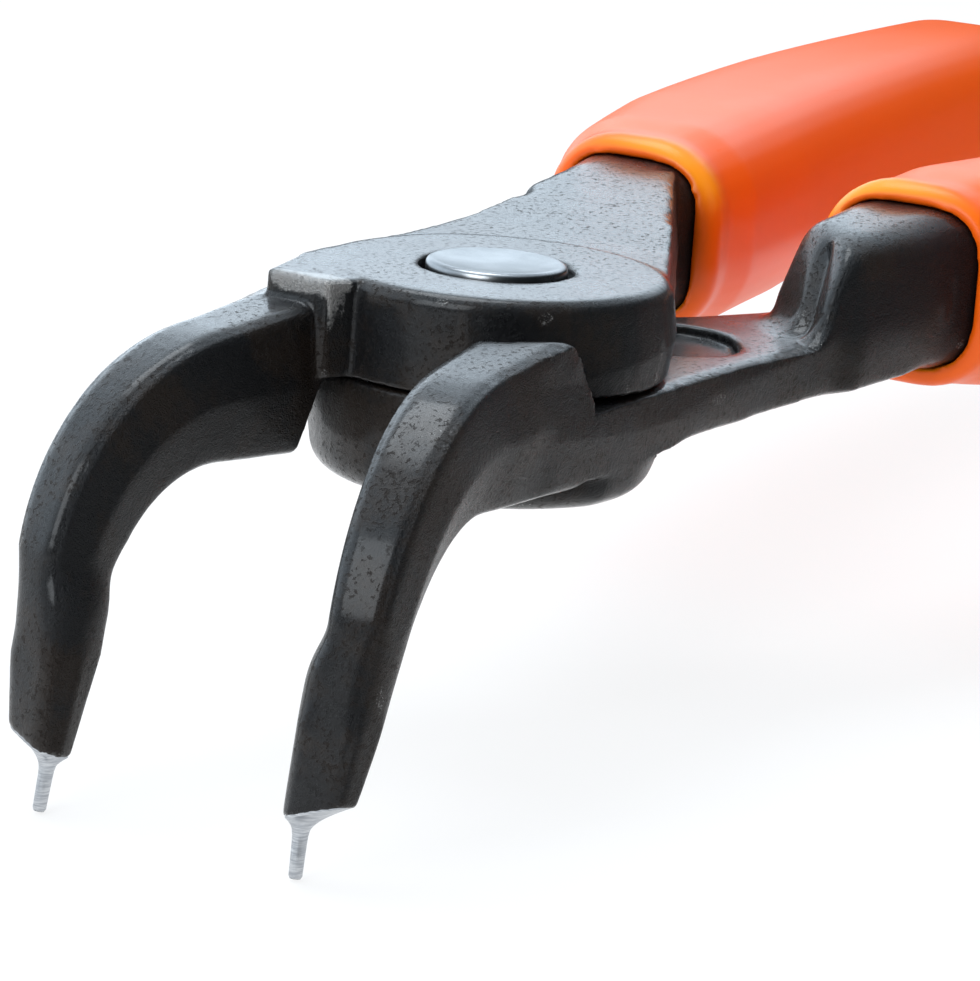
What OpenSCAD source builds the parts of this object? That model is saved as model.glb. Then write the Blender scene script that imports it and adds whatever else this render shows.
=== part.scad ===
// Circlip pliers for external rings, with tips bent at a right angle.
// Two forged levers lap at a riveted joint, and squeezing the handles spreads the tips.
// Origin: centre of the flat top of the rivet head. Handles run along +X, tips point to -Z.

/* [Joint] */
// Radius of the round lap disc of each lever
joint_r = 9.9; // [8.5:0.1:12]
// Thickness of the upper lap disc
plate_t = 5.6; // [4.6:0.1:7]
// Thickness of the lower lap disc
lower_t = 6.2; // [5.2:0.1:7]
// Running gap between the two lap faces
lap_gap = 0.1; // [0.05:0.01:0.2]
// Radius on the outer rim of the upper lap disc
rim_r = 0.8; // [0.3:0.1:1.5]
// Radius on the outer rim of the lower lap disc
lower_rim = 1.8; // [0.8:0.1:2.2]
// Height of the upper disc above the neck beside it
upper_step = 0.35; // [0.2:0.05:0.8]
// Height of the lower disc below the neck beside it
lower_step = 2.5; // [1.6:0.05:2.8]
// Depth of the round maker's recess on the lower lap face
roundel_depth = 0.6; // [0.2:0.1:1.2]
// Radius of the round maker's recess
roundel_r = 4.2; // [2:0.1:4.4]
// Length of the nose over the jaw root, from the pivot
nose_len = 12.2; // [11.2:0.1:13.5]
// Distance of the nose's outer corner from the closing plane
nose_outer = 5.8; // [5:0.1:6.6]
// Distance of the nose's inner corner from the closing plane
nose_inner = 1.7; // [1.2:0.1:2.4]

/* [Rivet] */
// Radius of the rivet shank
shank_r = 3; // [2:0.1:3.4]
// Radius of the rivet heads
head_r = 4; // [3.8:0.1:4.6]
// Thickness of each rivet head
head_t = 1.3; // [0.8:0.1:2]
// How far a rivet head stands out of the disc
head_proud = 0.3; // [0.1:0.05:0.6]
// Open ring between a rivet head and its recess
head_ring = 0.4; // [0.2:0.05:0.8]
// Running clearance on the radius of the turning bore
bore_clear = 0.04; // [0.02:0.01:0.08]

/* [Jaws] */
// Distance from the pivot to each tip pin
jaw_reach = 30.7; // [27:0.1:36]
// Drop from the rivet head to the shoulder of the tip pin
tip_drop = 24.5; // [22:0.1:30]
// Drop from the rivet head to the middle of the jaw root
root_drop = 6.25; // [5.6:0.05:6.8]
// Radius of the bend along the middle of the jaw
bend_r = 11; // [8:0.1:12.5]
// Forward lean of the jaw below the bend
jaw_lean = 14.5; // [8:0.5:18]
// Depth of the jaw at its root
root_depth = 9; // [8:0.1:10]
// Depth of the jaw where the bend starts
knee_depth = 7.5; // [6.5:0.1:8]
// Depth of the jaw where the bend ends
bend_depth = 5; // [4:0.1:5.6]
// Depth of the jaw at its end
end_depth = 2.6; // [2:0.1:3]
// Width of the jaw in the bend
bend_width = 3.1; // [2.4:0.1:3.6]
// Width of the jaw at its end
end_width = 3.2; // [2.6:0.1:3.6]
// Distance of the inner side of the jaw from the closing plane, in the bend
relief = 1.9; // [1.4:0.1:2.4]
// Bulge of each jaw side at the parting line of the forging
parting = 0.3; // [0.1:0.05:0.5]
// Angle that each jaw is opened from closed in the stored pose
jaw_open = 13.5; // [13:0.5:16]

/* [Tips] */
// Radius of each tip pin
pin_r = 0.45; // [0.4:0.01:0.65]
// Length of each tip pin
pin_len = 2.4; // [1.8:0.1:3.5]
// Height of the ground cone above the pin
cone_h = 0.65; // [0.5:0.05:1]
// Rise of the jaw end towards its outer side
end_slant = 1; // [0.6:0.1:1.6]
// Distance of each pin from the closing plane
pin_offset = 0.8; // [0.7:0.05:1.2]
// Forward lean of the pin
pin_lean = 10; // [0:1:14]

/* [Handles] */
// Distance from the pivot to the start of the handle bar
bar_start = 18.6; // [17:0.1:21]
// Distance of the end of each handle bar from the middle plane
bar_spread = 20.8; // [19:0.1:24]
// Side offset of the handle bar at its start
bar_offset = 5.5; // [5:0.1:6.5]
// Height of the middle of the handle bar above the lap faces
bar_lift = 1.7; // [1.2:0.05:2]
// Radius that the handle bar curves back in
bar_bow = 380; // [280:10:600]
// Length of the handle bar
bar_len = 92; // [80:1:120]
// Half width of the handle bar at the mouth of its sleeve
mouth_hw = 4.7; // [4.2:0.1:5.2]
// Half height of the raised block at the clearance wall
block_hh = 2.7; // [2.4:0.1:3.2]
// Half width of the raised block at the clearance wall
block_hw = 2.4; // [2:0.1:2.8]
// Side step of the raised block away from the other lever
block_shift = 2; // [1.6:0.1:2.4]
// Half height of the handle bar at the mouth of its sleeve
mouth_hh = 4.9; // [4.6:0.1:5.6]
// Half width of the handle bar at its end
tang_hw = 3; // [2.4:0.1:3.6]
// Half height of the handle bar at its end
tang_hh = 3.6; // [3:0.1:4.4]
// Radius of the hollow at the outer side of the neck
waist_r = 26; // [20:1:40]
// Distance from the pivot to the deepest part of the hollow
waist_at = 12; // [10:0.5:14]
// Depth of the hollow below the edge of the disc
waist_in = 0.7; // [0.3:0.1:1.2]
// Angle of the inner edge of the neck
neck_angle = 27.5; // [25:0.5:30]
// Distance from the pivot to the foot of the clearance wall
wall_dist = 21.4; // [19.5:0.1:22.5]
// Heading of the clearance wall
wall_angle = 42; // [34:0.5:46]
// Lean of the clearance wall
wall_lean = 25; // [5:1:32]
// Rounding at the foot of the clearance wall
wall_foot = 1.4; // [0.5:0.1:2]

/* [Grips] */
// Distance along the bar from its start to the sleeve mouth
mouth_at = 14.6; // [13:0.1:16.5]
// Slant of the mouth: how far its outer side lies behind its middle
mouth_slant = 1.4; // [0:0.1:1.8]
// Sleeve wall behind the lip
grip_wall = 1.2; // [1:0.05:2.2]
// Extra wall of the rounded lip
lip_bulge = 0.15; // [0:0.05:0.6]
// Wall at the swell of the sleeve
belly_wall = 3.6; // [2.4:0.1:4.2]
// Sleeve length beyond the end of the bar
cap_len = 4; // [3:0.1:8]
// Fitting gap between sleeve and bar
grip_fit = 0.03; // [0.01:0.01:0.1]

/* [Hidden] */
$fn = 64;

black_oxide = [0.16, 0.16, 0.17];
satin_steel = [0.66, 0.68, 0.70];
orange = [0.96, 0.42, 0.08];

// Levels of the joint, from the rivet head down
upper_lap = -head_proud - plate_t;
mid_z = upper_lap - lap_gap / 2;
lower_lap = upper_lap - lap_gap;
recess_depth = head_t - head_proud;
rivet_len = lower_t + head_proud - lower_lap;
bar_z = mid_z + bar_lift;
over = 40;
sliver = 0.01;
// The bar stays this far off the lap face, and the neck this far inside the bar and the disc
lap_relief = 0.3;
nose_step = 0.1;
neck_inset = 1.2;
edge_inset = 0.3;
// Slope of the outer face of each neck towards the sleeve
upper_slope = 3.5;
lower_slope = -1.8;
slope_from = joint_r + 3;

// Jaw path in its own closing plane: a straight root, the bend, and a leaning leg
turn = 90 - jaw_lean;
leg_end_z = -tip_drop + cone_h;
bend_end_z = -root_drop - bend_r * (1 - cos(turn));
leg_len = (bend_end_z - leg_end_z) / cos(jaw_lean);
bend_x = -jaw_reach + bend_r * sin(turn) + leg_len * sin(jaw_lean);
root_x = -joint_r + 2;
root_len = root_x - bend_x;
bend_len = bend_r * turn * PI / 180;
jaw_len = root_len + bend_len + leg_len;
pad_at = root_len + bend_len + leg_len * 0.1;
pad_step = 1.2;
pad_inner = 0.06;
pad_top = 0.45;
pad_edge = 0.8;
root_rise = 0.25;
root_inner = 2.8;
root_outer = 8;
edge_r = 0.7;
shoulder_gap = 1;
shoulder_draft = 20;

// Position on the jaw path at length s: x, z and the heading below horizontal
function jaw_at(s) =
    s <= root_len ? [root_x - s, -root_drop + root_rise * (1 - s / root_len), 0] :
    s <= root_len + bend_len ?
        let (h = (s - root_len) / bend_len * turn)
        [bend_x - bend_r * sin(h), -root_drop - bend_r * (1 - cos(h)), h] :
        let (k = s - root_len - bend_len)
        [bend_x - bend_r * sin(turn) - k * sin(jaw_lean), bend_end_z - k * cos(jaw_lean), turn];
function jaw_depth(s) = lookup(s, [
    [0, root_depth], [root_len, knee_depth],
    [root_len + bend_len, bend_depth], [jaw_len, end_depth]]);
function jaw_inner(s) = lookup(s, [
    [0, root_inner], [root_len, relief], [root_len + bend_len, (relief + pad_edge) / 2],
    [pad_at, pad_edge], [pad_at + pad_step, pad_top], [jaw_len, pad_inner]]);
function jaw_outer(s) = lookup(s, [
    [0, root_outer], [root_len, relief + bend_width * 1.3],
    [root_len + bend_len, (relief + pad_edge) / 2 + bend_width], [jaw_len, pad_inner + end_width]]);

// Closed outline of a rounded rectangle, counter-clockwise
function corner_arc(hw, hh, r, corner, steps) = [
    for (i = [0:steps])
        let (a = 90 * (corner + i / steps))
        [(corner == 0 || corner == 3 ? 1 : -1) * (hw - r) + r * cos(a),
         (corner < 2 ? 1 : -1) * (hh - r) + r * sin(a)]];
function round_rect(hw, hh, r, steps = 4) =
    [for (corner = [0:3], p = corner_arc(hw, hh, r, corner, steps)) p];

// The same with sides that swell to a parting line at mid height
function forged_section(hw, hh, r, swell, steps = 4) = concat(
    [[hw + swell, 0]], corner_arc(hw, hh, r, 0, steps), corner_arc(hw, hh, r, 1, steps),
    [[-hw - swell, 0]], corner_arc(hw, hh, r, 2, steps), corner_arc(hw, hh, r, 3, steps));

// Solid through a list of outlines that all have the same number of points
module loft(rings) {
    n = len(rings[0]);
    last = len(rings) - 1;
    points = [for (ring = rings, p = ring) p];
    sides = [for (i = [0:last - 1], j = [0:n - 1], half = [0, 1])
        let (a = i * n + j, b = i * n + (j + 1) % n)
        half == 0 ? [a, a + n, b] : [b, a + n, b + n]];
    start_cap = [[for (j = [0:n - 1]) j]];
    end_cap = [[for (j = [n - 1:-1:0]) last * n + j]];
    polyhedron(points, concat(sides, start_cap, end_cap), convexity = 6);
}

// One section across the jaw at length s, cut back by slant at its outer side
function jaw_ring(s, slant = 0) =
    let (half_w = (jaw_outer(s) - jaw_inner(s)) / 2,
         mid_y = (jaw_outer(s) + jaw_inner(s)) / 2,
         half_d = jaw_depth(s) / 2,
         r = min(edge_r, half_d * 0.6))
    [for (p = forged_section(half_w, half_d, r, min(parting, half_d * parting / 2)))
        let (at = jaw_at(s - slant * (1 - p[0] / half_w) / 2))
        [at[0] - p[1] * sin(at[2]), mid_y - p[0], at[1] + p[1] * cos(at[2])]];
function flat_ring(x, y, z, r) =
    [for (p = forged_section(r * 0.9, r, r * 0.8, r * 0.1)) [x - p[1], y - p[0], z]];

bend_steps = 18;
jaw_stations = concat(
    [0, root_len / 2],
    [for (i = [0:bend_steps]) root_len + bend_len * i / bend_steps],
    [pad_at, pad_at + pad_step, (pad_at + jaw_len) / 2]);

// Jaw with its ground cone, in the closing plane
module jaw_body() {
    foot = flat_ring(-jaw_reach, pin_offset, -tip_drop - sliver, pin_r * 1.25);
    loft(concat([for (s = jaw_stations) jaw_ring(s)], [jaw_ring(jaw_len, end_slant), foot]));
}

module tip_pin() {
    chamfer = pin_r / 4;
    translate([-jaw_reach, pin_offset, -tip_drop])
        rotate([0, pin_lean, 0])
            translate([0, 0, -pin_len]) {
                translate([0, 0, chamfer]) cylinder(r = pin_r, h = pin_len - chamfer + cone_h / 2);
                cylinder(r1 = pin_r - chamfer, r2 = pin_r, h = chamfer);
            }
}

// Cone that keeps a jaw clear of the other lever's disc, opening away from the lap face
module shoulder_cut() {
    foot_r = joint_r + shoulder_gap;
    cylinder(r1 = foot_r, r2 = foot_r + over * tan(shoulder_draft), h = over);
}

// Handle bar: position at length s along a bowed line, and its section
half_bend = bar_len / bar_bow * 90 / PI;
bar_angle = half_bend + asin((bar_spread - bar_offset) / (2 * bar_bow * sin(half_bend)));
taper_len = 6;
function bar_dir(s) = bar_angle - s / bar_bow * 180 / PI;
function bar_at(s) = [
    bar_start + bar_bow * (sin(bar_angle) - sin(bar_dir(s))),
    bar_offset + bar_bow * (cos(bar_dir(s)) - cos(bar_angle))];
function bar_side(s) = [-sin(bar_dir(s)), cos(bar_dir(s))];
function bar_hw(s) = lookup(s, [
    [0, block_hw], [mouth_at, mouth_hw], [mouth_at + taper_len, mouth_hw], [bar_len, tang_hw]]);
function bar_shift(s) = lookup(s, [[0, block_shift], [mouth_at, 0]]);
function bar_hh(s) = lookup(s, [
    [0, block_hh], [mouth_at / 2, (block_hh + 2 * mouth_hh) / 3], [mouth_at, mouth_hh],
    [mouth_at + taper_len, mouth_hh], [bar_len, tang_hh]]);
function bar_round(s) = lookup(s, [[0, block_hw / 2], [mouth_at, mouth_hw * 0.6], [bar_len, tang_hw * 0.8]]);
function bar_ring(s, extra = 0, steps = 4) =
    let (at = bar_at(s) + bar_shift(s) * bar_side(s), dir = bar_dir(s))
    [for (p = round_rect(bar_hw(s) + extra, bar_hh(s) + extra, bar_round(s) + extra, steps))
        [at[0] - p[0] * sin(dir), at[1] + p[0] * cos(dir), bar_z + p[1]]];

// Clearance wall: the lower half of the bar is cut away in front of it
module wall_cut() {
    rise = over * tan(wall_lean);
    rotate([0, 0, wall_angle])
        rotate([90, 0, 0])
            linear_extrude(height = 2 * over, center = true)
                polygon([[-over, lap_relief], [wall_dist - wall_foot, lap_relief],
                    [wall_dist - wall_foot / 4, lap_relief - wall_foot / 4],
                    [wall_dist + wall_foot * tan(wall_lean), lap_relief - wall_foot],
                    [wall_dist + rise, lap_relief - over], [-over, lap_relief - over]]);
}

// Flat neck from the disc to the sleeve, hollowed on its outer side
module neck_outline() {
    heading = [cos(neck_angle), sin(neck_angle)];
    inner = (joint_r - edge_inset) * [heading[1], -heading[0]];
    neck_end = mouth_at - 1.4;
    end = bar_at(neck_end) + bar_shift(neck_end) * bar_side(neck_end);
    outer = end + (bar_hw(neck_end) - neck_inset) * bar_side(neck_end);
    meet = end - (bar_hw(neck_end) - neck_inset) * bar_side(neck_end);
    run = (meet - inner) * heading;
    difference() {
        polygon([[0, joint_r], [0, 0], inner, inner + (run - 4) * heading, meet, outer]);
        translate([waist_at, joint_r - waist_in + waist_r]) circle(waist_r, $fn = 128);
    }
}

// Nose of the disc over the root of the jaw
module nose_outline() {
    rotate(-jaw_open)
        polygon([[0, joint_r - edge_inset], [(nose_outer - joint_r) * 1.7, joint_r - 1.6],
            [-nose_len, nose_outer], [edge_r - nose_len, nose_inner],
            [rim_r - joint_r, nose_inner / 2], [0, 0]]);
}

module disc_profile(thick, rim) {
    square([joint_r - rim, thick]);
    square([joint_r, thick - rim]);
    translate([joint_r - rim, thick - rim]) circle(rim);
}

// Neck with an outer face that slopes towards the sleeve
module neck_slab(neck_t, slope) {
    rise = over * tan(slope);
    difference() {
        linear_extrude(2 * neck_t) neck_outline();
        rotate([90, 0, 0])
            linear_extrude(height = 2 * over, center = true)
                polygon([[-over, neck_t], [slope_from, neck_t], [slope_from + over, neck_t + rise],
                    [slope_from + over, over], [-over, over]]);
    }
}

// Riveted half of a lever: lap face at zero, outer face up, neck on the +Y side
module joint_half(thick, rim, step, slope, bore_r) {
    difference() {
        union() {
            rotate_extrude() disc_profile(thick, rim);
            neck_slab(thick - step, slope);
            linear_extrude(thick - max(nose_step, step - upper_step)) nose_outline();
        }
        translate([0, 0, -over / 2]) cylinder(r = bore_r, h = over);
        translate([0, 0, thick - recess_depth]) cylinder(r = head_r + head_ring, h = over);
    }
}

bar_from = 0.8;
bar_stations = concat(
    [for (i = [0:6]) bar_from + (mouth_at - bar_from) * i / 6],
    [for (i = [0:6]) mouth_at + taper_len + (bar_len - mouth_at - taper_len) * i / 6]);

module bar_body() {
    loft([for (s = bar_stations) bar_ring(s)]);
}

module upper_lever() {
    color(black_oxide) {
        translate([0, 0, upper_lap])
            joint_half(plate_t, rim_r, upper_step, upper_slope, shank_r + bore_clear);
        difference() {
            bar_body();
            translate([0, 0, upper_lap]) wall_cut();
        }
        rotate([0, 0, -jaw_open]) {
            difference() {
                jaw_body();
                translate([0, 0, upper_lap]) mirror([0, 0, 1]) shoulder_cut();
            }
            tip_pin();
        }
    }
}

module lower_lever() {
    color(black_oxide)
        mirror([0, 1, 0]) {
            difference() {
                translate([0, 0, lower_lap]) mirror([0, 0, 1])
                    joint_half(lower_t, lower_rim, lower_step, lower_slope, shank_r);
                roundel_cut();
            }
            difference() {
                bar_body();
                translate([0, 0, lower_lap]) mirror([0, 0, 1]) wall_cut();
            }
            rotate([0, 0, -jaw_open]) {
                difference() {
                    jaw_body();
                    translate([0, 0, lower_lap]) shoulder_cut();
                }
                tip_pin();
            }
        }
}

// Round recess on the lap face, left bare
module roundel_cut() {
    translate([joint_r + roundel_r + rim_r / 2, roundel_r * 0.8, lower_lap - roundel_depth])
        cylinder(r = roundel_r, h = over);
}

module rivet_profile() {
    square([shank_r, rivet_len]);
    square([head_r, head_t]);
    translate([0, rivet_len - head_t]) square([head_r, head_t]);
}

module pivot_rivet() {
    color(satin_steel)
        translate([0, 0, -rivet_len]) rotate_extrude() rivet_profile();
}

// Sleeve outside: a rounded lip, an even wall, a swell for the palm and a domed end
lip_len = 3;
dome_len = 9;
grip_len = bar_len + cap_len;
function grip_wall_at(s) =
    let (k = s - mouth_at)
    k < lip_len / 2 ?
        (grip_wall + lip_bulge) * sqrt(1 - pow(1 - 2 * k / lip_len, 2)) + 2 * grip_fit :
        lookup(s, [[mouth_at + lip_len, grip_wall + lip_bulge], [mouth_at + 2 * lip_len, belly_wall * 0.62],
            [bar_len * 0.35, belly_wall * 0.88], [bar_len * 0.6, belly_wall]]);
// Above and below, the swell is smaller than at the sides
function grip_cover_at(s) = min(grip_wall_at(s), grip_wall + lip_bulge + (grip_wall_at(s) - grip_wall) / 3);
function dome(s) =
    let (k = (s - grip_len + dome_len) / dome_len)
    k <= 0 ? 1 : sqrt(max(0.04, 1 - k * k));
// The slant of the mouth fades out along the sleeve
function slant_at(s) = mouth_slant * lookup(s, [
    [mouth_at, 1], [mouth_at + 2 * lip_len, 0.5], [bar_len * 0.35, 0]]);
function grip_ring(s) =
    let (at = bar_at(s) + bar_shift(s) * bar_side(s), dir = bar_dir(s),
         hw = (bar_hw(s) + grip_wall_at(s)) * dome(s), hh = (bar_hh(s) + grip_cover_at(s)) * dome(s),
         r = min(hw, hh) * 0.8, lean = slant_at(s) / hw)
    [for (p = round_rect(hw, hh, r, 7))
        [at[0] + p[0] * (lean * cos(dir) - sin(dir)), at[1] + p[0] * (lean * sin(dir) + cos(dir)),
         bar_z + p[1]]];
lip_steps = 8;
grip_steps = 12;
dome_steps = 8;
body_from = mouth_at + 2 * lip_len;
body_to = grip_len - dome_len;
grip_stations = concat(
    [for (i = [0:lip_steps]) mouth_at + lip_len / 2 * (1 - cos(90 * i / lip_steps))],
    [mouth_at + lip_len, mouth_at + lip_len * 1.5],
    [for (i = [0:grip_steps]) body_from + (body_to - body_from) * i / grip_steps],
    [for (i = [1:dome_steps]) body_to + dome_len * sin(90 * i / dome_steps)]);

module grip_body() {
    difference() {
        loft([for (s = grip_stations) grip_ring(s)]);
        loft([for (s = concat([for (b = bar_stations) if (b > mouth_at - lip_len) b],
            [bar_len + grip_fit])) bar_ring(s, grip_fit)]);
    }
}

module upper_grip() {
    color(orange) grip_body();
}

module lower_grip() {
    color(orange) mirror([0, 1, 0]) grip_body();
}

upper_lever();
lower_lever();
pivot_rivet();
upper_grip();
lower_grip();
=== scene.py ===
import math

import bmesh
import bpy
import numpy as np
from mathutils import Matrix, Vector


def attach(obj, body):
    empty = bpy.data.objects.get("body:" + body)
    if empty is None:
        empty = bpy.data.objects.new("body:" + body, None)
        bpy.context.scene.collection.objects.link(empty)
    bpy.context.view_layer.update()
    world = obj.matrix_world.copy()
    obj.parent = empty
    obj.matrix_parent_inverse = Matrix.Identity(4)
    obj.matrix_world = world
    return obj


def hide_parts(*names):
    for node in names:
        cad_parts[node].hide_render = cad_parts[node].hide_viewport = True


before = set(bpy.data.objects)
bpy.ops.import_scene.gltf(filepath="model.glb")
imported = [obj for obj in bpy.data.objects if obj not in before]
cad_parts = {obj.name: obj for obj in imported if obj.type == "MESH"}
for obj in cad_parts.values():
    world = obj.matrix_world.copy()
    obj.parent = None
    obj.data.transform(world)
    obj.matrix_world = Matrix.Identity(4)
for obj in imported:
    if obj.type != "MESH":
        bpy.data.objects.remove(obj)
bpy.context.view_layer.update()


# The two levers: drop-forged carbon steel with a black oxide finish, slightly pitted by scale.
# The hammer dies leave a parting line half way up each side wall, with draft above and below it.
# Each lever carries its jaw, half of the lap joint, the neck and the bar inside the sleeve.
MM = 0.001
OXIDE_BLACK = (0.0035, 0.0035, 0.004, 1)
OXIDE_BROWN = (0.011, 0.0065, 0.004, 1)
WORN_STEEL = (0.22, 0.21, 0.20, 1)
OXIDE_IOR = 1.27
OXIDE_RELIEF = 0.08
GRIT_SIZE = 0.10
SCALE_SIZE = 0.30
SWELL_SIZE = 1.6
PATCH_SIZE = 5

# Bands over which a mask of the finish goes from nothing to full.
PIT_SCALE = (0.55, 0.64)
PIT_PATCH = (0.25, 0.60)
RUBBED_EDGE = (0.52, 0.57)
RUBBED_GRIT = (0.82, 1.0)
BARE = (0.80, 1.05)
BROWNED = (0.60, 0.80)
GLINTS = (0.52, 0.66)


class Field:
    """A value that varies over a surface, as the output of a shader node."""

    def __init__(self, tree, socket):
        self.tree = tree
        self.socket = socket

    def math(self, operation, first, second):
        node = self.tree.nodes.new("ShaderNodeMath")
        node.operation = operation
        for slot, value in zip(node.inputs, (first, second)):
            feed(self.tree, slot, value)
        return Field(self.tree, node.outputs[0])

    def __add__(self, other):
        return self.math("ADD", self, other)

    def __radd__(self, other):
        return self.math("ADD", other, self)

    def __sub__(self, other):
        return self.math("SUBTRACT", self, other)

    def __rsub__(self, other):
        return self.math("SUBTRACT", other, self)

    def __mul__(self, other):
        return self.math("MULTIPLY", self, other)

    def __rmul__(self, other):
        return self.math("MULTIPLY", other, self)


def feed(tree, slot, value):
    if isinstance(value, Field):
        tree.links.new(value.socket, slot)
    else:
        slot.default_value = value


class Finish:
    """The nodes of a material, or of the room's light."""

    def __init__(self, owner):
        owner.use_nodes = True
        self.owner = owner
        self.tree = owner.node_tree

    def node(self, kind, settings=None, sockets=None, out=0):
        made = self.tree.nodes.new(kind)
        for name, value in (settings or {}).items():
            setattr(made, name, value)
        for name, value in (sockets or {}).items():
            feed(self.tree, made.inputs[name], value)
        return Field(self.tree, made.outputs[out])

    def place(self):
        return self.node("ShaderNodeTexCoord", out="Object")

    def painted(self, name):
        return self.node("ShaderNodeAttribute", {"attribute_name": name}, out="Fac")

    def noise(self, place, size, detail=2.0, rough=0.5):
        return self.node("ShaderNodeTexNoise", None, {
            "Vector": place, "Scale": 1 / (size * MM), "Detail": detail, "Roughness": rough})

    def step(self, value, low, high):
        return self.node("ShaderNodeMapRange", {"interpolation_type": "SMOOTHSTEP"}, {
            "Value": value, "From Min": low, "From Max": high})

    def blend(self, amount, first, second):
        return self.node("ShaderNodeMix", {"data_type": "RGBA"}, {
            "Factor": amount, 6: first, 7: second}, out=2)

    def bump(self, height, depth, strength):
        return self.node("ShaderNodeBump", None, {
            "Height": height, "Distance": depth * MM, "Strength": strength})

    def surface(self, shader="Principled BSDF", **sockets):
        target = self.tree.nodes[shader]
        for name, value in sockets.items():
            feed(self.tree, target.inputs[name.replace("_", " ")], value)
        return self.owner


def black_oxide():
    look = Finish(bpy.data.materials.new("black_oxide"))
    place = look.place()
    grit = look.noise(place, GRIT_SIZE, detail=4, rough=0.65)
    scale = look.noise(place, SCALE_SIZE, detail=3, rough=0.6)
    patch = look.noise(place, PATCH_SIZE, detail=4, rough=0.6)
    swell = look.noise(place, SWELL_SIZE)
    forged = look.painted("forged")
    worn = look.painted("wear")
    edge = look.node("ShaderNodeNewGeometry", out="Pointiness")
    pits = look.step(scale, *PIT_SCALE) * look.step(patch, *PIT_PATCH)
    rub = look.step(edge, *RUBBED_EDGE) * look.step(grit + 0.6 * scale, *RUBBED_GRIT)
    bare = look.step(worn + 0.5 * scale + 0.4 * grit, *BARE)
    brown = look.step(patch + 0.35 * scale, *BROWNED)
    oxide_colour = look.blend(brown, OXIDE_BLACK, OXIDE_BROWN)
    gloss_on_plates = (0.95 - 0.85 * pits) * (1 - 0.85 * forged)
    gloss_on_walls = 0.6 * forged * look.step(grit, *GLINTS)
    relief = (0.8 * grit + 1.0 * scale) * (1 + 1.6 * forged) - 1.2 * pits + 1.6 * swell
    return look.surface(
        Base_Color=look.blend(rub + bare, oxide_colour, WORN_STEEL),
        Metallic=0.5 * rub + 0.7 * bare,
        Roughness=0.21 + 0.15 * patch + 0.15 * pits + 0.05 * forged,
        IOR=OXIDE_IOR,
        Coat_Weight=gloss_on_plates + gloss_on_walls,
        Coat_Roughness=0.17,
        Coat_IOR=OXIDE_IOR,
        Normal=look.bump(relief, OXIDE_RELIEF, 0.8))


# Sizes of the levers in millimetres. The rivet stands on the Z axis with its head at the top, and
# a place on the jaw is given with the jaws closed, before they open by their angle.
LEVER_VOXEL = 0.17
LEVER_ROUNDING = 14
LEVER_FACES = 0.24
WELD = 0.001
SMOOTHING = 0.5
SOFT_ROUNDS = 70
SOFT_LEVELS = 10
JAW_OPEN = math.radians(13.5)
JAW_FRONT = Vector((-0.968, 0, 0.25))
TIP_INNER = Vector((-30.7, 0.06, -23.85))
TIP_OUTER = Vector((-30.45, 3.26, -22.88))
BEND_HUB = (-17.73, -17.25)
BEND_RADIUS = 11.0
BEND_TURN = math.radians(75.5)
BEND_LOW = -14.5
JAW_LEVELS = (-24.0, -14.5, -7.0, -5.0)
JAW_HALF_DEPTHS = (1.3, 2.5, 3.75, 4.4)


def worked(mesh, steps, weights=None):
    """The mesh after a run of modifiers, held to the group "soft" where there are weights."""
    blank = bpy.data.objects.new("blank", mesh)
    bpy.context.scene.collection.objects.link(blank)
    if weights is not None:
        group = blank.vertex_groups.new(name="soft")
        for level in range(1, SOFT_LEVELS + 1):
            chosen = np.flatnonzero(np.rint(weights * SOFT_LEVELS) == level)
            group.add(chosen.tolist(), level / SOFT_LEVELS, "REPLACE")
    for kind, settings in steps:
        modifier = blank.modifiers.new(kind.lower(), kind)
        for name, value in settings.items():
            setattr(modifier, name, value)
    bpy.context.view_layer.update()
    seen = blank.evaluated_get(bpy.context.evaluated_depsgraph_get())
    made = bpy.data.meshes.new_from_object(seen)
    bpy.data.objects.remove(blank)
    return made


def skin(node, voxel, rounding, cut=None):
    """A closed skin over a CAD solid in millimetres, with its edges rounded over."""
    solid = bmesh.new()
    solid.from_mesh(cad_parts[node].data)
    bmesh.ops.scale(solid, vec=(1 / MM,) * 3, verts=solid.verts)
    bmesh.ops.remove_doubles(solid, verts=solid.verts, dist=WELD)
    if cut:
        spot, normal = cut
        everything = solid.verts[:] + solid.edges[:] + solid.faces[:]
        halved = bmesh.ops.bisect_plane(
            solid, geom=everything, plane_co=spot, plane_no=normal, clear_outer=True)
        rim = [part for part in halved["geom_cut"] if isinstance(part, bmesh.types.BMEdge)]
        bmesh.ops.holes_fill(solid, edges=rim, sides=0)
    data = bpy.data.meshes.new(node + "_solid")
    solid.to_mesh(data)
    solid.free()
    return worked(data, [
        ("REMESH", {"mode": "VOXEL", "voxel_size": voxel}),
        ("SMOOTH", {"factor": SMOOTHING, "iterations": rounding})])


def ease(mesh, weights):
    """Rounds a skin over further where the weights ask for it."""
    smoothing = {"vertex_group": "soft", "factor": SMOOTHING, "iterations": SOFT_ROUNDS}
    return worked(mesh, [("SMOOTH", smoothing)], weights)


def mount(name, mesh, material, node, body):
    """A finished piece in metres on its body, which stands in for a CAD node if one is named."""
    mesh.transform(Matrix.Scale(MM, 4))
    mesh.polygons.foreach_set("use_smooth", np.ones(len(mesh.polygons), dtype=bool))
    mesh.materials.clear()
    mesh.materials.append(material)
    made = bpy.data.objects.new(name, mesh)
    bpy.context.scene.collection.objects.link(made)
    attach(made, body)
    if node:
        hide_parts(node)
    return made


def piece(name, mesh, share, material, node, body):
    """A piece made from a skin, with that share of the skin's faces."""
    thin = worked(mesh, [("DECIMATE", {"ratio": share})])
    return mount(name, thin, material, node, body)


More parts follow.
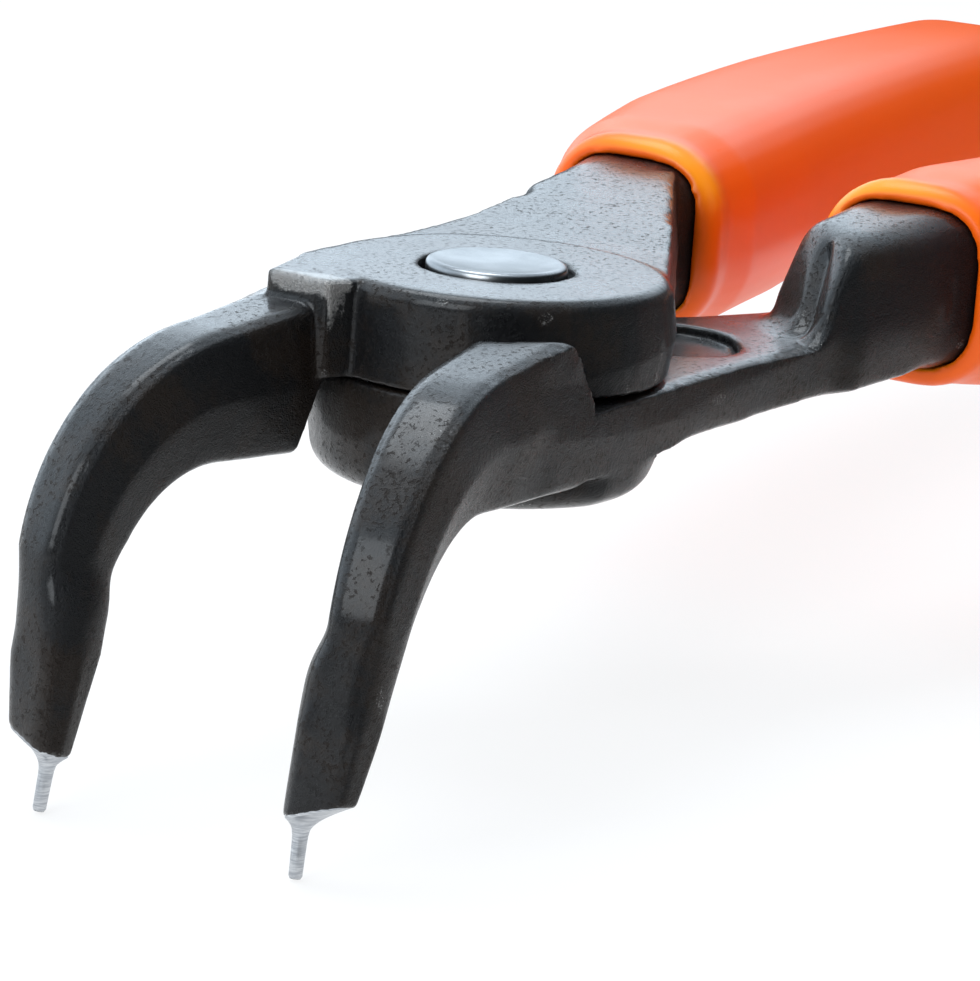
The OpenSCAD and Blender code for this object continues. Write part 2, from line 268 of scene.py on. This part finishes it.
def points(mesh):
    spots = np.empty(len(mesh.vertices) * 3)
    mesh.vertices.foreach_get("co", spots)
    facing = np.empty(len(mesh.vertices) * 3)
    mesh.vertex_normals.foreach_get("vector", facing)
    return spots.reshape(-1, 3), facing.reshape(-1, 3)


def paint(mesh, name, values):
    mesh.attributes.new(name, "FLOAT", "POINT").data.foreach_set("value", values)


def smooth_step(value, low, high):
    part = np.clip((value - low) / (high - low), 0, 1)
    return part * part * (3 - 2 * part)


def smooth_fall(value, low, high):
    return 1 - smooth_step(value, low, high)


def between(value, low, high, fade):
    return smooth_step(value, low - fade, low + fade) * smooth_fall(value, high - fade, high + fade)


def jaw_frame(side):
    """Turns the closed jaw of the upper lever into place, or its mirror image for the lower one."""
    flip = Matrix.Diagonal((1, side, 1, 1))
    return flip @ Matrix.Rotation(-JAW_OPEN, 4, "Z")


def jaw_depth(spots, side):
    """Distance in front of the middle line of the jaw, and half the depth of the jaw there."""
    x = spots[:, 0] * math.cos(JAW_OPEN) - side * spots[:, 1] * math.sin(JAW_OPEN)
    z = spots[:, 2]
    hub_x, hub_z = BEND_HUB
    heading = np.arctan2(hub_x - x, z - hub_z)
    root = z - hub_z - BEND_RADIUS
    bend = np.hypot(hub_x - x, z - hub_z) - BEND_RADIUS
    leg = (x - TIP_INNER.x) * JAW_FRONT.x + (z - TIP_INNER.z) * JAW_FRONT.z
    on_leg = (heading > BEND_TURN) | (z < BEND_LOW)
    ahead = np.where(heading < 0, root, np.where(on_leg, leg, bend))
    return ahead, np.interp(z, JAW_LEVELS, JAW_HALF_DEPTHS)


# Places where the forging is softest: a start, an end and a fade along the lever or up the jaw, and
# bands of height and of distance from the middle.
BLOCK_SOFT = (20.5, 31, 1.5)
PAD_SOFT = (-18.0, -14.0, 1.0)
NECK_SOFT = (5, 30, 2)
NECK_UNDER = (-7.4, -6.6)
NECK_OUTER = (6, 8)
ROOT_SOFT = (-7.5, 0.5, 1.5)
ROOT_UNDER = (-6.9, -6.4)
ROOT_OUTER = (7, 8)


def soft_places(spots):
    """The block with its slanting front, the inner pad of the jaw and the underside of the neck."""
    x, y, z = spots.T
    soft = np.maximum(between(x, *BLOCK_SOFT), between(z, *PAD_SOFT))
    neck = between(x, *NECK_SOFT) * smooth_fall(z, *NECK_UNDER) * smooth_step(np.abs(y), *NECK_OUTER)
    return np.maximum(soft, neck)


def soft_root(spots, side):
    """The corner where the root of the jaw meets the lower disc."""
    x, y, z = spots.T
    return between(x, *ROOT_SOFT) * smooth_step(side * y, *ROOT_OUTER) * smooth_fall(z, *ROOT_UNDER)


# Draft of the dies: the walls slope away from a parting line, whose height is given at four places
# along the lever. The walls of the jaw slope away from the middle of its depth instead.
DRAFT = 0.14
DRAFT_REACH = 3.0
JAW_DRAFT = 0.1
PARTING_AT = (-16, -2, 6, 33)
UPPER_PARTING = (-6.3, -4.0, -3.2, -4.2)
LOWER_PARTING = (-6.3, -7.8, -8.0, -4.2)
OUTER_HALF = (5, 7)
UPRIGHT = (0.5, 0.9)
FLANK = (0.6, 0.85)
RECESS_CLEAR = (6.0, 7.5)
SLEEVE_CLEAR = (29.5, 31.5)
ROOT_OUTSIDE = (-13, -4)
ROOT_INSIDE = (-9.2, -7.2)
JAW_INSIDE = (-12.5, -10.5)


def parting_crest(spots, parting):
    """How far each point lies inside the reach of the draft on either side of the parting line."""
    x, _, z = spots.T
    return np.clip(DRAFT_REACH - np.abs(z - np.interp(x, PARTING_AT, parting)), 0, None)


def draft(spots, facing, side, crest):
    """Pushes the walls out towards the parting line and the middle of the jaw."""
    x, y, _ = spots.T
    outside = smooth_step(side * y, *OUTER_HALF)
    behind_jaw = smooth_step(x, *ROOT_OUTSIDE)
    upright = smooth_step(1 - np.abs(facing[:, 2]), *UPRIGHT)
    clear = smooth_step(np.hypot(x, y), *RECESS_CLEAR) * smooth_fall(x, *SLEEVE_CLEAR)
    clear *= outside * behind_jaw + (1 - outside) * smooth_step(x, *ROOT_INSIDE)
    ahead, half = jaw_depth(spots, side)
    jaw_crest = np.clip(half - np.abs(ahead), 0, None)
    flank = smooth_step(np.abs(facing[:, 1]), *FLANK)
    flank *= 1 - outside * behind_jaw - (1 - outside) * smooth_step(x, *JAW_INSIDE)
    spots += facing * (DRAFT * crest * upright * clear + JAW_DRAFT * jaw_crest * flank)[:, None]


# The outer side of a lever is one smooth line from the jaw to the block, straight past the disc and
# then flaring. It is measured in slices along the lever, in the layer that the lever's disc takes.
SIDE_AT = 9.85
SIDE_FROM = 8.0
SIDE_FLARE = 0.0066
SIDE_RUN = (-11.0, 21.5, 2)
SIDE_LAYER = (-10.0, -1.2, 0.5)
SIDE_SLICE = 0.5
SIDE_MARGIN = 3
SIDE_SKIN = (0.5, 3.0)
SIDE_NEAR = (0.5, 1.0)
SIDE_FACING = (0.55, 0.8)
UPPER_LAYER = (-5.0, -1.0)
LOWER_LAYER = (-9.0, -6.8)


def side_line(x):
    return SIDE_AT + SIDE_FLARE * np.clip(x - SIDE_FROM, 0, None) ** 2


def fair(spots, side, layer):
    """Draws the outer side of the lever out to the smooth line, and what lies close behind it."""
    x, y, z = spots.T
    outer = side * y
    start, end, _ = SIDE_RUN
    marks = np.arange(start - SIDE_MARGIN, end + SIDE_MARGIN, SIDE_SLICE)
    inside = (z > layer[0]) & (z < layer[1])
    reach = np.array([outer[inside & (np.abs(x - mark) < SIDE_SLICE)].max() for mark in marks])
    shift = np.interp(x, marks, side_line(marks) - reach) * between(x, *SIDE_RUN)
    inward = np.interp(x, marks, reach) - outer
    spots[:, 1] += side * shift * smooth_fall(inward, *SIDE_SKIN)


def flatten_side(spots, facing, side, crest):
    """Lays the outer wall, with its draft, on the smooth line."""
    x, y, z = spots.T
    wall = side_line(x) + DRAFT * crest
    plain = between(x, *SIDE_RUN) * between(z, *SIDE_LAYER) * smooth_step(side * facing[:, 1], *SIDE_FACING)
    plain *= smooth_fall(np.abs(wall - side * y), *SIDE_NEAR)
    spots[:, 1] += (side * wall - y) * plain


# The groove runs down the slanting front of the lower lever's block.
GROOVE_WALL = Vector((-0.67, 0.61, 0.42))
GROOVE_TOP = Vector((24.24, -8.3, -1.85))
GROOVE_DOWN = Vector((-3.28, -0.63, -3.67))
GROOVE_RUN = (-1.0, 5.4, 0.7)
GROOVE_FACING = (0.3, 0.7)
GROOVE_DEPTH = 0.9
GROOVE_WIDTH = 0.42


def cut_groove(spots, facing):
    down = GROOVE_DOWN.normalized()
    outward = np.array(GROOVE_WALL.normalized())
    offset = spots - np.array(GROOVE_TOP)
    along = offset @ np.array(down)
    off_line = offset @ np.array(GROOVE_WALL.cross(down).normalized())
    faced = smooth_step(facing @ outward, *GROOVE_FACING) * between(along, *GROOVE_RUN)
    dip = GROOVE_DEPTH * np.exp(-(off_line / GROOVE_WIDTH) ** 2)
    spots -= outward * (dip * faced)[:, None]


def forge(mesh, side, layer, parting, grooved):
    """Gives the skin of a lever its soft edges, its smooth outer side, its draft and its groove."""
    mesh = ease(mesh, soft_places(points(mesh)[0]))
    spots, facing = points(mesh)
    fair(spots, side, layer)
    crest = parting_crest(spots, parting)
    draft(spots, facing, side, crest)
    flatten_side(spots, facing, side, crest)
    if grooved:
        cut_groove(spots, facing)
    mesh.vertices.foreach_set("co", spots.ravel())
    mesh.update()
    return ease(mesh, soft_root(spots, side))


# The edge of the upper lever's nose is worn bright, and upright walls keep the grain of the dies.
NOSE_EDGE = (-10.8, 7.4, -0.5), (-10.3, 3.8, -0.4)
WEAR_REACH = (0.2, 1.5)
FORGED_WALL = (0.55, 0.85)

oxide = black_oxide()
across = TIP_OUTER - TIP_INNER
tip_normal = -across.cross(JAW_FRONT).normalized()
for name, side, layer, parting, grooved in (
        ("upper", 1, UPPER_LAYER, UPPER_PARTING, False),
        ("lower", -1, LOWER_LAYER, LOWER_PARTING, True)):
    seat = jaw_frame(side)
    cut = (seat @ TIP_INNER, seat.to_3x3() @ tip_normal)
    body = skin(name + "_lever", LEVER_VOXEL, LEVER_ROUNDING, cut)
    body = forge(body, side, layer, parting, grooved)
    made = piece(name + "_forging", body, LEVER_FACES, oxide, name + "_lever", name)
    spots, facing = points(made.data)
    near, far = (np.array(end) * MM for end in NOSE_EDGE)
    part = np.clip((spots - near) @ (far - near) / np.dot(far - near, far - near), 0, 1)
    gap = np.linalg.norm(spots - near - part[:, None] * (far - near), axis=1) / MM
    paint(made.data, "wear", smooth_fall(gap, *WEAR_REACH))
    paint(made.data, "forged", smooth_step(np.abs(facing[:, 1]), *FORGED_WALL))


# The tips: the end of each jaw is ground bright on a slant, and runs in a hollow cone into a pin.
# Bare hardened steel, with fine grinding lines across the pin.
TIP_POINTS = 48
TIP_ROOT = ((0.7, 0.88), (0.2, 0.985))
CONE_RINGS = 12
HOLLOW = 1.8
END_HALF_DEPTH = 1.24
END_HALF_WIDTH = 1.57
PIN_LEAN = math.radians(10)
PIN_START = Vector((-30.7, 0.8, -24.5))
PIN_ROOT = 0.45
PIN_PROFILE = ((0.15, 0.42), (0.5, 0.40), (1.1, 0.385), (2.25, 0.36), (2.4, 0.28))
GROUND_STEEL = (0.62, 0.64, 0.66, 1)
GROUND_SHADE = (0.36, 0.38, 0.41, 1)
GROUND_RELIEF = 0.01
BRUSH_SIZE = 0.3
BRUSH_STRETCH = (0.3, 0.3, 4)
BRUSHED = (0.35, 0.7)


def ground_steel():
    look = Finish(bpy.data.materials.new("ground_steel"))
    lines = look.node("ShaderNodeMapping", None, {"Vector": look.place(), "Scale": BRUSH_STRETCH})
    brush = look.noise(lines, BRUSH_SIZE, detail=4, rough=0.6)
    return look.surface(
        Base_Color=look.blend(look.step(brush, *BRUSHED), GROUND_SHADE, GROUND_STEEL),
        Metallic=1.0,
        Roughness=0.24 + 0.2 * brush,
        Normal=look.bump(brush, GROUND_RELIEF, 0.4))


def circle(count):
    turns = [2 * math.pi * k / count for k in range(count)]
    return [(math.cos(turn), math.sin(turn)) for turn in turns]


def join_rings(mesh, rings):
    """Adds the faces between neighbouring rings of points."""
    for low, high in zip(rings, rings[1:]):
        for k in range(len(low)):
            after = (k + 1) % len(low)
            mesh.faces.new((low[k], low[after], high[after], high[k]))


def closed(name, mesh):
    """The mesh of a closed form, with its faces outward."""
    bmesh.ops.recalc_face_normals(mesh, faces=mesh.faces)
    data = bpy.data.meshes.new(name)
    mesh.to_mesh(data)
    mesh.free()
    return data


def loft(name, rings):
    """A closed skin through rings of points, with flat ends."""
    mesh = bmesh.new()
    rows = [[mesh.verts.new(spot) for spot in ring] for ring in rings]
    join_rings(mesh, rows)
    mesh.faces.new(rows[0][::-1])
    mesh.faces.new(rows[-1])
    return closed(name, mesh)


def squared(value):
    return math.copysign(math.sqrt(abs(value)), value)


def tip_rings(seat):
    """Rings from inside the jaw end over the hollow cone and down the leaning pin."""
    centre = (TIP_INNER + TIP_OUTER) / 2
    lateral = across / across.y
    down = Vector((-math.sin(PIN_LEAN), 0, -math.cos(PIN_LEAN)))
    front = Vector((-math.cos(PIN_LEAN), 0, math.sin(PIN_LEAN)))
    sweep = circle(TIP_POINTS)

    def jaw_end(lift, size):
        middle = centre - tip_normal * lift
        return [middle + lateral * (END_HALF_WIDTH * size * squared(c))
                + JAW_FRONT * (END_HALF_DEPTH * size * squared(s)) for c, s in sweep]

    def pin(length, radius):
        middle = PIN_START + down * length
        return [middle + Vector((0, radius * c, 0)) + front * (radius * s) for c, s in sweep]

    wide, narrow = jaw_end(0, 1), pin(0, PIN_ROOT)
    rings = [jaw_end(lift, size) for lift, size in TIP_ROOT]
    for k in range(CONE_RINGS + 1):
        along = k / CONE_RINGS
        hollow = 1 - (1 - along) ** HOLLOW
        rings.append([
            Vector((a.x + (b.x - a.x) * hollow, a.y + (b.y - a.y) * hollow, a.z + (b.z - a.z) * along))
            for a, b in zip(wide, narrow)])
    rings += [pin(length, radius) for length, radius in PIN_PROFILE]
    return [[seat @ spot for spot in ring] for ring in rings]


ground = ground_steel()
for name, side in (("upper", 1), ("lower", -1)):
    tip = loft(name + "_tip", tip_rings(jaw_frame(side)))
    mount(name + "_tip", tip, ground, None, name)


# The rivet: a plain steel rivet, closed cold in the recesses of both discs and ground smooth.
# Its head is faintly dished by the closing tool, with a rounded edge and a dark open ring round it.
RIVET_STEPS = 128
RIVET_LENGTH = 12.5
DISH_DEPTH = 0.16
HEAD_DISH = ((0.6, -0.158), (1.2, -0.148), (1.8, -0.13), (2.4, -0.1), (3.0, -0.055), (3.4, -0.015))
HEAD_EDGE = ((3.55, -0.003), (3.65, 0), (3.78, -0.03), (3.9, -0.1), (3.97, -0.22), (4.0, -0.4))
HEAD_UNDER = ((4.0, -1.3), (3.0, -1.3))
RIVET_STEEL = (0.29, 0.30, 0.31, 1)
RIVET_SHADE = (0.19, 0.20, 0.21, 1)
RIVET_RELIEF = 0.006
CLOUD_SIZE = 3
GRAIN_SIZE = 0.12
SHADED = (0.45, 0.85)


def satin_steel():
    look = Finish(bpy.data.materials.new("satin_steel"))
    place = look.place()
    cloud = look.noise(place, CLOUD_SIZE, detail=3)
    grain = look.noise(place, GRAIN_SIZE, detail=3)
    return look.surface(
        Base_Color=look.blend(look.step(cloud + 0.3 * grain, *SHADED), RIVET_STEEL, RIVET_SHADE),
        Metallic=1.0,
        Roughness=0.24 + 0.10 * cloud,
        Normal=look.bump(grain, RIVET_RELIEF, 0.3))


def turned(name, profile):
    """A closed solid of revolution about Z through (radius, height) points, with a dish at each end."""
    mesh = bmesh.new()
    rows = [[mesh.verts.new((radius * c, radius * s, z)) for c, s in circle(RIVET_STEPS)]
            for radius, z in profile]
    join_rings(mesh, rows)
    for row, z in ((rows[0], -DISH_DEPTH), (rows[-1], DISH_DEPTH - RIVET_LENGTH)):
        pole = mesh.verts.new((0, 0, z))
        for k in range(RIVET_STEPS):
            mesh.faces.new((pole, row[k], row[(k + 1) % RIVET_STEPS]))
    return closed(name, mesh)


head = HEAD_DISH + HEAD_EDGE + HEAD_UNDER
tail = tuple((radius, -RIVET_LENGTH - z) for radius, z in reversed(head))
mount("rivet", turned("rivet", head + tail), satin_steel(), "pivot_rivet", "lower")


# The sleeves: dip-moulded orange vinyl, pulled over the bars as a tight fit.
# Smooth and slightly waxy, with a thick rounded lip at the mouth. The lip is painted yellower, standing for
# light shining through the thin vinyl, most on its top: painted light.
SLEEVE_VOXEL = 0.22
SLEEVE_ROUNDING = 24
SLEEVE_FACES = 0.16
# The painted light on the lip: how far it runs from the mouth, its share on the underside, the facing band
# of its top and how it blends in.
LIP_GLOW_RUN = (0.6, 3.8)
LIP_GLOW_UNDERSIDE = 0.1
LIP_GLOW_FACING = (0.0, 0.7)
LIP_GLOW_BLEND = (0.1, 1.1)
VINYL = (0.88, 0.108, 0.002, 1)
# Painted light: the yellower colour that stands for light shining through the lip.
VINYL_LIP_PAINTED_GLOW = (0.98, 0.28, 0.004, 1)
VINYL_RELIEF = 0.02
VINYL_CLOUD = 14
VINYL_DIMPLE = 0.5


def vinyl():
    look = Finish(bpy.data.materials.new("orange_vinyl"))
    place = look.place()
    cloud = look.noise(place, VINYL_CLOUD, detail=3)
    dimple = look.noise(place, VINYL_DIMPLE)
    # Painted light: the lip is painted yellower, as if lit through the thin vinyl.
    painted_lip_glow = look.step(look.painted("lip") + 0.25 * cloud, *LIP_GLOW_BLEND)
    return look.surface(
        Base_Color=look.blend(painted_lip_glow, VINYL, VINYL_LIP_PAINTED_GLOW),
        Roughness=0.30 + 0.12 * cloud,
        Specular_IOR_Level=0.3,
        Normal=look.bump(dimple, VINYL_RELIEF, 0.25))


plastic = vinyl()
for name in ("upper", "lower"):
    sleeve = skin(name + "_grip", SLEEVE_VOXEL, SLEEVE_ROUNDING)
    made = piece(name + "_sleeve", sleeve, SLEEVE_FACES, plastic, name + "_grip", name)
    spots, facing = points(made.data)
    run = spots.mean(axis=0) * (1, 1, 0)
    along = spots @ (run / np.linalg.norm(run)) / MM
    # The painted light on the lip is strongest where the lip faces up, towards the light.
    glow_on_top = LIP_GLOW_UNDERSIDE + (1 - LIP_GLOW_UNDERSIDE) * smooth_step(facing[:, 2], *LIP_GLOW_FACING)
    paint(made.data, "lip", smooth_fall(along - along.min(), *LIP_GLOW_RUN) * glow_on_top)


# The studio: a white table in a dim room that is bright behind the tool, and three soft lamps.
# Three black cards, which only reflections see, keep the side walls of the steel dark.
FLOOR_Z = -27.0
FLOOR_REACH = 4.0
FLOOR_CORNERS = ((-1, -1), (1, -1), (1, 1), (-1, 1))
FLOOR_WHITE = (0.9, 0.9, 0.9, 1)
FLOOR_GLOW = 0.8
WHITE = (1, 1, 1, 1)
CARD_BLACK = (0.01, 0.01, 0.01, 1)
CARD_TOP = 0.02
VIEW_ALONG = Vector((0.869, 0.495, 0))
FRONT_CARD_AWAY = 0.075
FRONT_CARD_LEFT = 0.02
FRONT_CARD_RIGHT = 0.3
BACK_CARD = (Vector((0.14, -0.14, 0)), Vector((0.14, 0.11, 0)))
RIGHT_CARD = (Vector((-0.028, -0.102, 0)), Vector((0.063, -0.05, 0)))


def sheet(name, corners, look):
    data = bpy.data.meshes.new(name)
    data.from_pydata(corners, [], [(0, 1, 2, 3)])
    data.materials.append(look)
    made = bpy.data.objects.new(name, data)
    bpy.context.scene.collection.objects.link(made)
    return made


table = Finish(bpy.data.materials.new("white_table"))
table.surface(Base_Color=FLOOR_WHITE, Roughness=0.9)
seen = table.node("ShaderNodeLightPath", out="Is Camera Ray")
mirrored = table.node("ShaderNodeLightPath", out="Is Glossy Ray")
through = table.node("ShaderNodeLightPath", out="Is Transmission Ray")
shown = FLOOR_GLOW * (seen + mirrored + through)
lit = Field(table.tree, table.tree.nodes["Principled BSDF"].outputs[0])
glow = table.node("ShaderNodeEmission", None, {"Color": WHITE, "Strength": 1.0})
mixed = table.node("ShaderNodeMixShader", None, {0: shown, 1: lit, 2: glow})
table.surface("Material Output", Surface=mixed)
level = FLOOR_Z * MM
sheet("floor", [(x * FLOOR_REACH, y * FLOOR_REACH, level) for x, y in FLOOR_CORNERS], table.owner)

card_paint = Finish(bpy.data.materials.new("black_card")).surface(Base_Color=CARD_BLACK, Roughness=1.0)
sideways = Vector((VIEW_ALONG.y, -VIEW_ALONG.x, 0))
front_middle = VIEW_ALONG * -FRONT_CARD_AWAY
front_card = (front_middle - sideways * FRONT_CARD_LEFT, front_middle + sideways * FRONT_CARD_RIGHT)
foot, top = Vector((0, 0, level)), Vector((0, 0, CARD_TOP))
for name, (start, end) in (
        ("front_card", front_card), ("back_card", BACK_CARD), ("right_card", RIGHT_CARD)):
    card = sheet(name, [start + foot, end + foot, end + top, start + top], card_paint)
    card.visible_camera = card.visible_shadow = card.visible_diffuse = False

ROOM_DARK = 0.03
ROOM_BRIGHT = 2.4
ROOM_TINT = (0.76, 0.885, 1.0, 1)
GLOW_FROM = (0.169, 0.619, 0.77)
GLOW_SPREAD = (0.25, 0.65)
CEILING_DIM = 0.5
CEILING_FROM = (0.42, 0.68)
room = Finish(bpy.data.worlds.new("room"))
bpy.context.scene.world = room.owner
heading = room.node("ShaderNodeTexCoord", out="Generated")
towards_glow = room.node(
    "ShaderNodeVectorMath", {"operation": "DOT_PRODUCT"}, {0: heading, 1: GLOW_FROM}, out="Value")
height = room.node("ShaderNodeSeparateXYZ", None, {"Vector": heading}, out="Z")
ceiling = 1 - CEILING_DIM * room.step(height, *CEILING_FROM)
brightness = ROOM_DARK + ROOM_BRIGHT * room.step(towards_glow, *GLOW_SPREAD) * ceiling
room.surface("Background", Strength=brightness, Color=ROOM_TINT)

LAMP_TINT = (0.90, 0.955, 1.0)


def softbox(name, spot, aim, size, watts):
    lamp = bpy.data.lights.new(name, "AREA")
    lamp.shape = "RECTANGLE"
    lamp.size = lamp.size_y = size
    lamp.energy = watts
    lamp.color = LAMP_TINT
    made = bpy.data.objects.new(name, lamp)
    bpy.context.scene.collection.objects.link(made)
    made.location = spot
    made.rotation_euler = (Vector(aim) - Vector(spot)).to_track_quat("-Z", "Y").to_euler()
    return made


softbox("overhead", spot=(0.06, 0.14, 0.42), aim=(0, 0, 0), size=0.24, watts=1.1)
softbox("left_front", spot=(-0.40, 0.03, 0.205), aim=(0, 0, -0.005), size=0.26, watts=1.3)
fill = softbox("fill", spot=(0.1, -0.4, 0.25), aim=(0.04, 0, 0), size=0.4, watts=0.8)
fill.visible_glossy = False


# The camera: a long lens low over the jaws, on the side of the near lever.
# The top of the rivet is set on its pixel in the photo, with the photo's own tilt.
IMAGE = (980, 981)
FOCAL_PIXELS = 4659
PIVOT_PIXEL = (497.2, 260.4)
AZIMUTH = math.radians(29.7)
ELEVATION = math.radians(13.8)
ROLL = math.radians(4.2)
DISTANCE = 0.26
SENSOR = 36
CLIP_START = 0.01
look_along = Vector((
    math.cos(ELEVATION) * math.cos(AZIMUTH), math.cos(ELEVATION) * math.sin(AZIMUTH), -math.sin(ELEVATION)))
level_right = look_along.cross(Vector((0, 0, 1))).normalized()
level_up = level_right.cross(look_along)
right = level_right * math.cos(ROLL) + level_up * math.sin(ROLL)
up = level_up * math.cos(ROLL) - level_right * math.sin(ROLL)
aside = (PIVOT_PIXEL[0] - IMAGE[0] / 2) / FOCAL_PIXELS * DISTANCE
above = (IMAGE[1] / 2 - PIVOT_PIXEL[1]) / FOCAL_PIXELS * DISTANCE
eye = -(right * aside + up * above + look_along * DISTANCE)
lens = bpy.data.cameras.new("camera")
lens.sensor_width = SENSOR
lens.lens = FOCAL_PIXELS * SENSOR / max(IMAGE)
lens.clip_start = CLIP_START
camera = bpy.data.objects.new("camera", lens)
bpy.context.scene.collection.objects.link(camera)
camera.matrix_world = Matrix((
    (right.x, up.x, -look_along.x, eye.x),
    (right.y, up.y, -look_along.y, eye.y),
    (right.z, up.z, -look_along.z, eye.z),
    (0, 0, 0, 1)))
bpy.context.scene.camera = camera
bpy.context.scene.view_settings.view_transform = "Standard"
